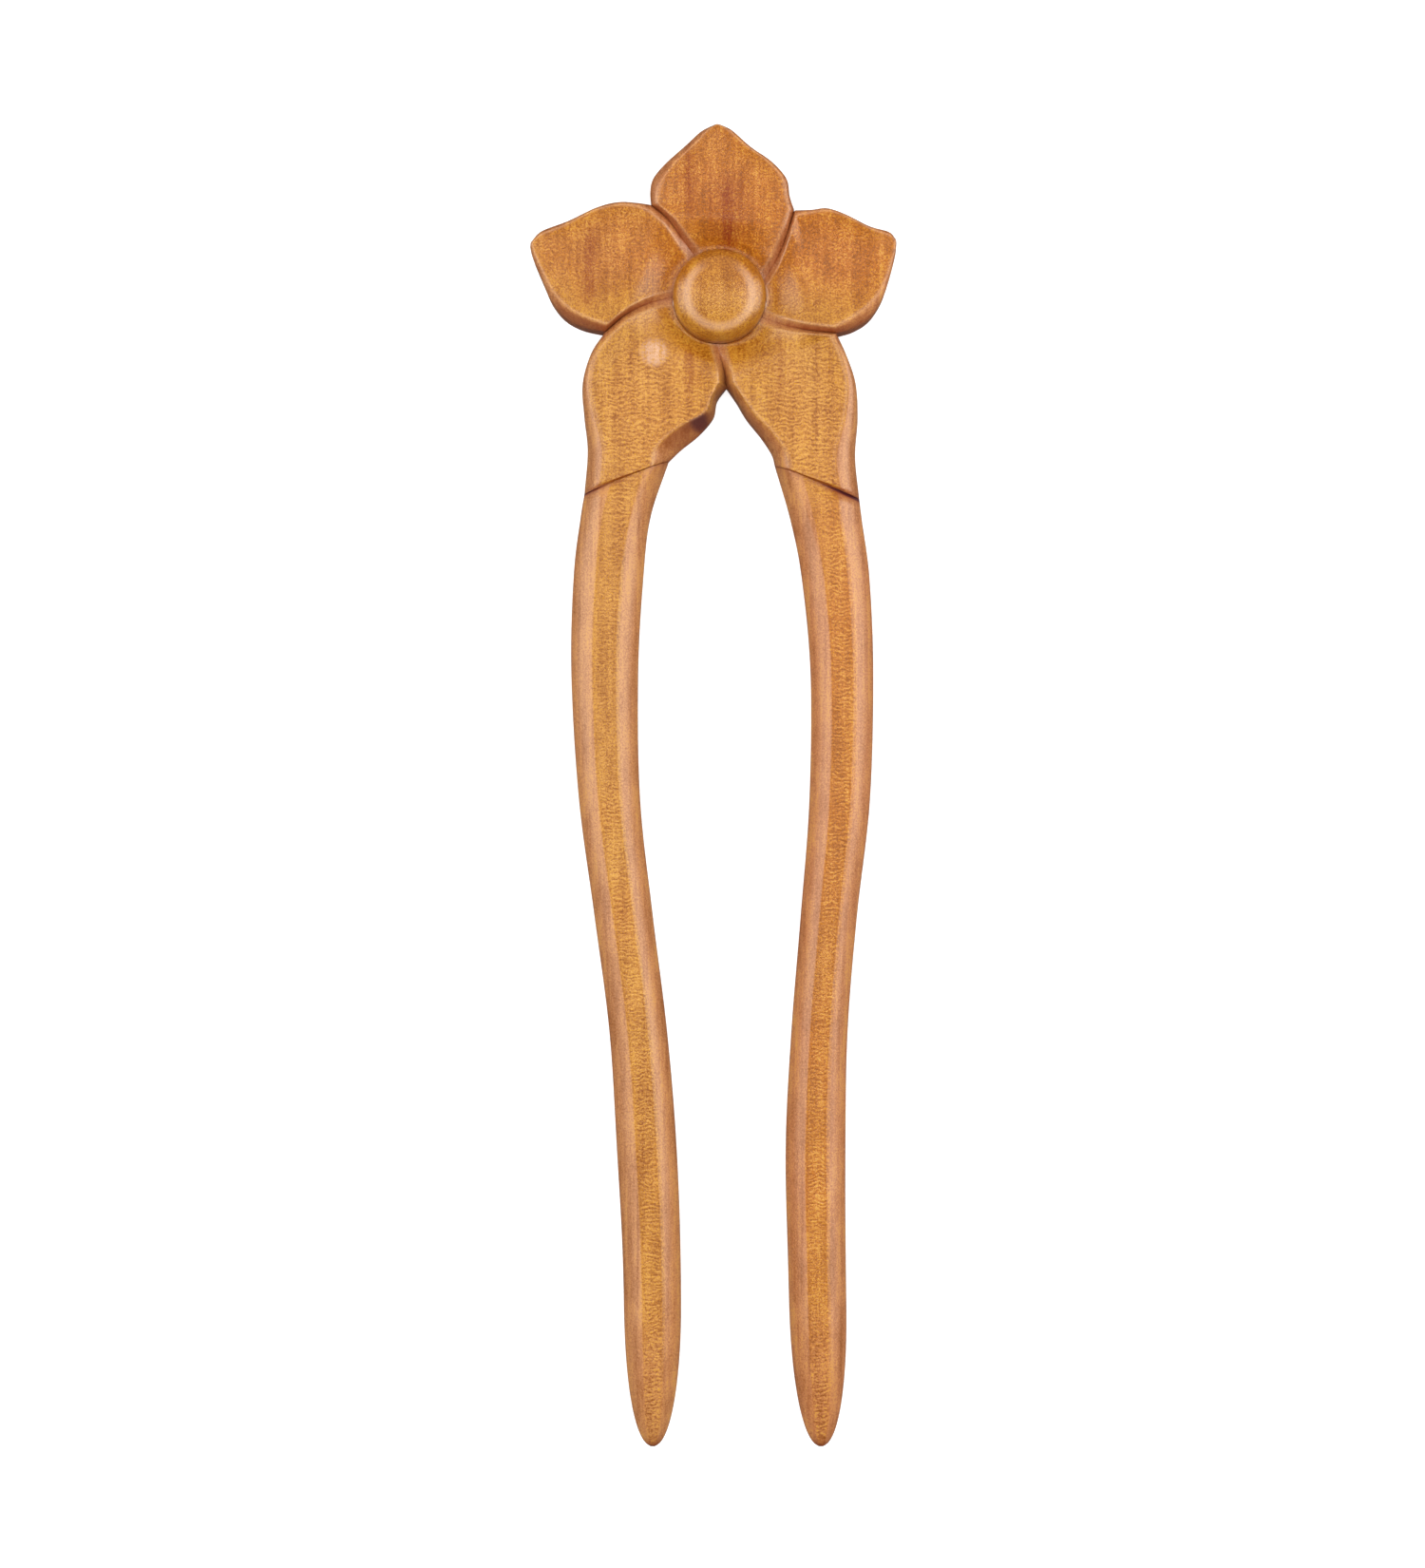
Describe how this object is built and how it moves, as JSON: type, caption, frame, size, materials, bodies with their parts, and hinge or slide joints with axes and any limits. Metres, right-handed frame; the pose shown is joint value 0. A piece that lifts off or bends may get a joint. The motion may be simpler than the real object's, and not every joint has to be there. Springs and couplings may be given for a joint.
{
  "type": "wooden hair fork",
  "caption": "Wooden hair fork with a pair of long, gently waved prongs and a carved flower head around a round boss.",
  "frame": {"origin": "on the flat back of the flower head, under the middle of the boss", "axes": "+Z out of the carved front, +Y from the prong tips towards the top petal, X across the flower"},
  "size_m": [0.047, 0.17, 0.0096],
  "materials": {
    "carved_wood": "sanded and oiled to a satin sheen, with the grain running along the prongs"
  },
  "bodies": {
    "root": {"flower_boss": "carved_wood", "petal_top": "carved_wood", "petal_upper_left": "carved_wood", "petal_upper_right": "carved_wood", "petal_lower_left": "carved_wood", "petal_lower_right": "carved_wood", "prong_left": "carved_wood", "prong_right": "carved_wood"}
  },
  "joints": []
}
